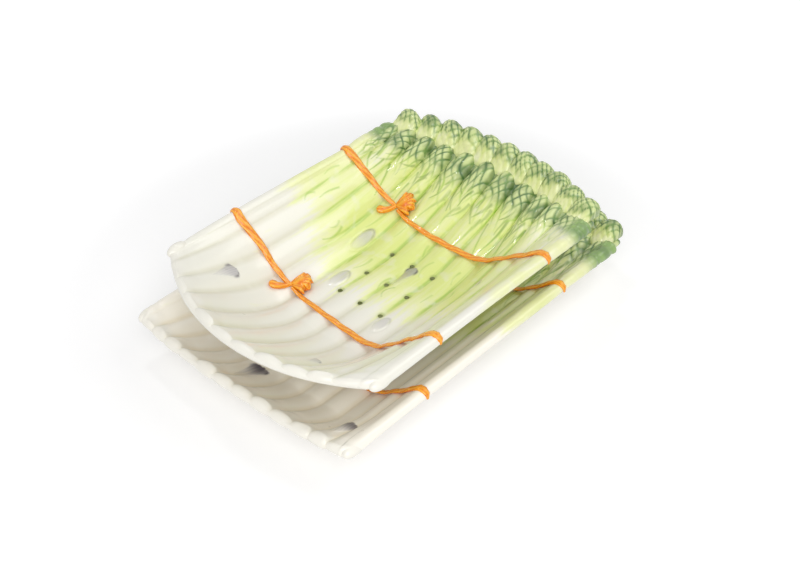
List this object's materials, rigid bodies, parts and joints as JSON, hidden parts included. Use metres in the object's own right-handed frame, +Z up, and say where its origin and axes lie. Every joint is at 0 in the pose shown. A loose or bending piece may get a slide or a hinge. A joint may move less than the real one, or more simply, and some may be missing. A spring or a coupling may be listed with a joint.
{
  "type": "asparagus serving set",
  "caption": "Glazed earthenware asparagus dish moulded as a bundle of tied stalks, pierced with drain holes and standing on feet in a matching tray that catches the water.",
  "frame": {"origin": "middle of the set's bounding box, on the surface that it stands on", "axes": "+Y along the stalks toward their heads, +X across them toward the near rim in the picture, +Z up"},
  "size_m": [0.2147, 0.3328, 0.0922],
  "materials": {
    "cream_glaze": "glossy cream white glaze over earthenware",
    "stalk_glaze": "glossy hand-painted glaze, white at the cut ends and yellow green toward the heads",
    "head_glaze": "glossy green glaze with dark green painted scales",
    "tie_glaze": "glossy orange glaze over fibre relief"
  },
  "bodies": {
    "tray": {"tray_dish": "cream_glaze", "tray_foot_ring": "cream_glaze", "tray_stalk_01": "stalk_glaze", "tray_stalk_02": "stalk_glaze", "tray_stalk_03": "stalk_glaze", "tray_stalk_04": "stalk_glaze", "tray_stalk_05": "stalk_glaze", "tray_stalk_06": "stalk_glaze", "tray_stalk_07": "stalk_glaze", "tray_stalk_08": "stalk_glaze", "tray_stalk_09": "stalk_glaze", "tray_stalk_10": "stalk_glaze", "tray_stalk_11": "stalk_glaze", "tray_stalk_12": "stalk_glaze", "tray_rim_heads": "head_glaze", "tray_front_far_strand": "tie_glaze", "tray_front_knot": "tie_glaze", "tray_front_tail": "tie_glaze", "tray_front_near_strand": "tie_glaze", "tray_rear_far_strand": "tie_glaze", "tray_rear_knot": "tie_glaze", "tray_rear_tail": "tie_glaze", "tray_rear_near_strand": "tie_glaze"},
    "drainer": {"drainer_dish": "cream_glaze", "drainer_feet": "cream_glaze", "drainer_stalk_01": "stalk_glaze", "drainer_stalk_02": "stalk_glaze", "drainer_stalk_03": "stalk_glaze", "drainer_stalk_04": "stalk_glaze", "drainer_stalk_05": "stalk_glaze", "drainer_stalk_06": "stalk_glaze", "drainer_stalk_07": "stalk_glaze", "drainer_stalk_08": "stalk_glaze", "drainer_stalk_09": "stalk_glaze", "drainer_stalk_10": "stalk_glaze", "drainer_stalk_11": "stalk_glaze", "drainer_rim_head_01": "head_glaze", "drainer_rim_head_02": "head_glaze", "drainer_rim_head_03": "head_glaze", "drainer_rim_head_04": "head_glaze", "drainer_rim_head_05": "head_glaze", "drainer_rim_head_06": "head_glaze", "drainer_rim_head_07": "head_glaze", "drainer_rim_head_08": "head_glaze", "drainer_rim_head_09": "head_glaze", "drainer_rim_head_10": "head_glaze", "drainer_rim_head_11": "head_glaze", "drainer_front_far_strand": "tie_glaze", "drainer_front_knot": "tie_glaze", "drainer_front_tail": "tie_glaze", "drainer_front_near_strand": "tie_glaze", "drainer_rear_far_strand": "tie_glaze", "drainer_rear_knot": "tie_glaze", "drainer_rear_tail": "tie_glaze", "drainer_rear_near_strand": "tie_glaze"}
  },
  "joints": [
    {"name": "drainer_lift", "type": "slide", "parent": "tray", "child": "drainer", "axis": [0, 0, 1], "range_m": [0, 0.1]}
  ]
}
